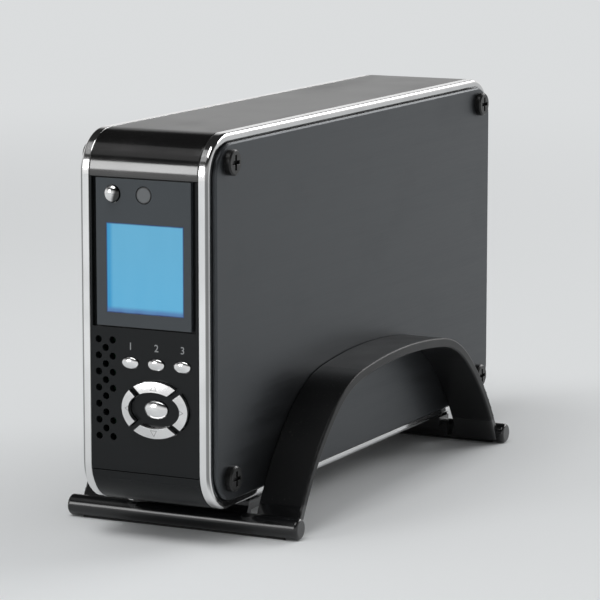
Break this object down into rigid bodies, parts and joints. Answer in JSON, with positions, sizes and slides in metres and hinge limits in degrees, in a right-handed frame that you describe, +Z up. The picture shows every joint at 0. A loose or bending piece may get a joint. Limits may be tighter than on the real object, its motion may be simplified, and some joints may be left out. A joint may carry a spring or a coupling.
{
  "type": "media player",
  "caption": "Slim upright media player with a front display, buttons and key pad, rear jacks, an internal drive tray and a black arched stand.",
  "frame": {"origin": "middle of the whole footprint, on the table", "axes": "+Z up, +Y from the front face to the rear jacks, +X to the right seen from the front"},
  "size_m": [0.0844, 0.2332, 0.1312],
  "materials": {
    "black_rubber": "matt",
    "black_steel": "black",
    "bright_trim": "polished",
    "case_black": "satin to gloss black",
    "cast_aluminium": "as cast",
    "circuit_board": "green solder mask",
    "clear_pane": "clear",
    "dark_aluminium": "dark anodised, fine brushed",
    "display_blue": "lit blue",
    "gloss_black": "polished black",
    "grey_ribbon": "ribbed",
    "jack_black": "moulded",
    "jack_blue": "moulded",
    "jack_green": "moulded",
    "jack_purple": "moulded",
    "jack_red": "moulded",
    "jack_white": "moulded",
    "jack_yellow": "moulded",
    "moulded_black": "moulded",
    "silver_button": "silver metallic",
    "smoked_window": "smoked",
    "steel": "plated",
    "tray_steel": "galvanised",
    "white_plastic": "moulded white"
  },
  "bodies": {
    "stand": {"stand_arch": "gloss_black", "rail_grips": "black_rubber", "seat_pads": "black_rubber"},
    "player": {"board_parts": "moulded_black", "board_screws": "steel", "board_standoffs": "steel", "bottom_cover": "case_black", "display_module": "display_blue", "display_pane": "clear_pane", "drive_board": "circuit_board", "drive_casting": "cast_aluminium", "drive_lid": "steel", "drive_screws": "steel", "drive_tray": "tray_steel", "front_board": "circuit_board", "front_board_screws": "steel", "front_panel": "case_black", "heat_sink": "cast_aluminium", "ir_window": "smoked_window", "jack_core_black": "jack_black", "jack_core_blue": "jack_blue", "jack_core_green": "jack_green", "jack_core_purple": "jack_purple", "jack_core_red": "jack_red", "jack_core_white": "jack_white", "jack_core_yellow": "jack_yellow", "jack_rings": "bright_trim", "jack_sleeves": "bright_trim", "left_side_panel": "dark_aluminium", "left_trim": "bright_trim", "lower_jack_block": "moulded_black", "main_board": "circuit_board", "panel_screws": "black_steel", "power_socket": "white_plastic", "power_socket_core": "moulded_black", "rear_board": "circuit_board", "rear_panel": "case_black", "rear_screws": "black_steel", "ribbon_cable": "grey_ribbon", "ribbon_plugs": "moulded_black", "right_side_panel": "dark_aluminium", "right_trim": "bright_trim", "svideo_socket": "moulded_black", "tact_switches": "moulded_black", "top_cover": "case_black", "tray_screws": "steel", "upper_jack_block": "moulded_black", "usb_socket": "steel", "window_lens": "smoked_window"},
    "power_button": {"power_button": "silver_button"},
    "left_oval_button": {"left_oval_button": "silver_button"},
    "middle_oval_button": {"middle_oval_button": "silver_button"},
    "right_oval_button": {"right_oval_button": "silver_button"},
    "pad_up_key": {"pad_up_key": "silver_button"},
    "pad_down_key": {"pad_down_key": "silver_button"},
    "pad_left_key": {"pad_left_key": "silver_button"},
    "pad_right_key": {"pad_right_key": "silver_button"},
    "pad_centre_key": {"pad_centre_key": "silver_button"}
  },
  "joints": [
    {"name": "player_lift", "type": "slide", "parent": "stand", "child": "player", "axis": [0, 0, 1], "range_m": [0, 0.06]},
    {"name": "power_button_press", "type": "slide", "parent": "player", "child": "power_button", "axis": [0, 1, 0], "range_m": [0, 0.0005], "stiffness_N_per_m": 400, "springref_m": -0.0005},
    {"name": "left_oval_button_press", "type": "slide", "parent": "player", "child": "left_oval_button", "axis": [0, 1, 0], "range_m": [0, 0.0005], "stiffness_N_per_m": 400, "springref_m": -0.0005},
    {"name": "middle_oval_button_press", "type": "slide", "parent": "player", "child": "middle_oval_button", "axis": [0, 1, 0], "range_m": [0, 0.0005], "stiffness_N_per_m": 400, "springref_m": -0.0005},
    {"name": "right_oval_button_press", "type": "slide", "parent": "player", "child": "right_oval_button", "axis": [0, 1, 0], "range_m": [0, 0.0005], "stiffness_N_per_m": 400, "springref_m": -0.0005},
    {"name": "pad_up_key_press", "type": "slide", "parent": "player", "child": "pad_up_key", "axis": [0, 1, 0], "range_m": [0, 0.0005], "stiffness_N_per_m": 400, "springref_m": -0.0005},
    {"name": "pad_down_key_press", "type": "slide", "parent": "player", "child": "pad_down_key", "axis": [0, 1, 0], "range_m": [0, 0.0005], "stiffness_N_per_m": 400, "springref_m": -0.0005},
    {"name": "pad_left_key_press", "type": "slide", "parent": "player", "child": "pad_left_key", "axis": [0, 1, 0], "range_m": [0, 0.0005], "stiffness_N_per_m": 400, "springref_m": -0.0005},
    {"name": "pad_right_key_press", "type": "slide", "parent": "player", "child": "pad_right_key", "axis": [0, 1, 0], "range_m": [0, 0.0005], "stiffness_N_per_m": 400, "springref_m": -0.0005},
    {"name": "pad_centre_key_press", "type": "slide", "parent": "player", "child": "pad_centre_key", "axis": [0, 1, 0], "range_m": [0, 0.0005], "stiffness_N_per_m": 400, "springref_m": -0.0005}
  ]
}
